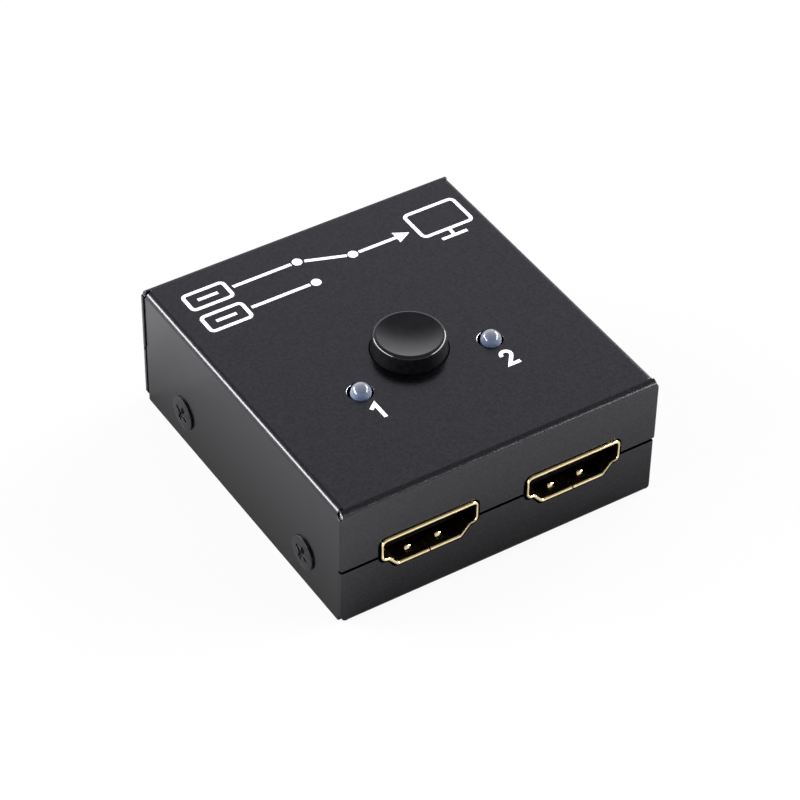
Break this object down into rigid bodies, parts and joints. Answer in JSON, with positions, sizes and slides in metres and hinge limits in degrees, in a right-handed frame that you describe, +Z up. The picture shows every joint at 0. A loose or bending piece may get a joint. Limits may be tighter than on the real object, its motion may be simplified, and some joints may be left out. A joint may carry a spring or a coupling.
{
  "type": "hdmi switch",
  "caption": "Small black sheet-metal video switch box with gold sockets at front and rear, a sprung push button and clear indicators on top, and a circuit board inside.",
  "frame": {"origin": "middle of the case's underside", "axes": "+Z up, -Y towards the front with the two input sockets, +X to the right seen from the front"},
  "size_m": [0.051, 0.054, 0.0226],
  "materials": {
    "case_paint": "fine satin black powder coat",
    "black_screws": "black oxide",
    "bright_steel": "plain bright",
    "tinned_leads": "tinned",
    "gold_plate": "gold plated",
    "socket_plastic": "moulded black",
    "button_plastic": "semi-gloss black",
    "switch_black": "moulded black",
    "switch_brown": "pressed laminate",
    "switch_white": "moulded white",
    "clear_lens": "clear epoxy",
    "board_green": "solder mask",
    "chip_black": "moulded epoxy",
    "ceramic_tan": "fired ceramic"
  },
  "bodies": {
    "enclosure": {"top_cover": "case_paint", "base_plate": "case_paint", "cover_screws": "black_screws", "standoffs": "bright_steel", "board_screws": "bright_steel", "return_spring": "bright_steel", "switch_terminals": "tinned_leads", "led_1_leads": "tinned_leads", "led_2_leads": "tinned_leads", "video_chip_leads": "tinned_leads", "logic_chip_leads": "tinned_leads", "front_port_1_shell": "gold_plate", "front_port_2_shell": "gold_plate", "rear_port_shell": "gold_plate", "front_port_1_contacts": "gold_plate", "front_port_2_contacts": "gold_plate", "rear_port_contacts": "gold_plate", "front_port_1_insulator": "socket_plastic", "front_port_2_insulator": "socket_plastic", "rear_port_insulator": "socket_plastic", "switch_housing": "switch_black", "switch_base": "switch_brown", "led_1_lens": "clear_lens", "led_2_lens": "clear_lens", "circuit_board": "board_green", "video_chip": "chip_black", "logic_chip": "chip_black", "protection_chips": "chip_black", "resistors": "chip_black", "capacitors": "ceramic_tan"},
    "button": {"button_cap": "button_plastic", "switch_plunger": "switch_white", "contact_bridges": "gold_plate"}
  },
  "joints": [
    {"name": "button_press", "type": "slide", "parent": "enclosure", "child": "button", "axis": [0, 0, -1], "range_m": [0, 0.002], "stiffness_N_per_m": 600, "springref_m": -0.002, "deforming": ["return_spring"]}
  ]
}
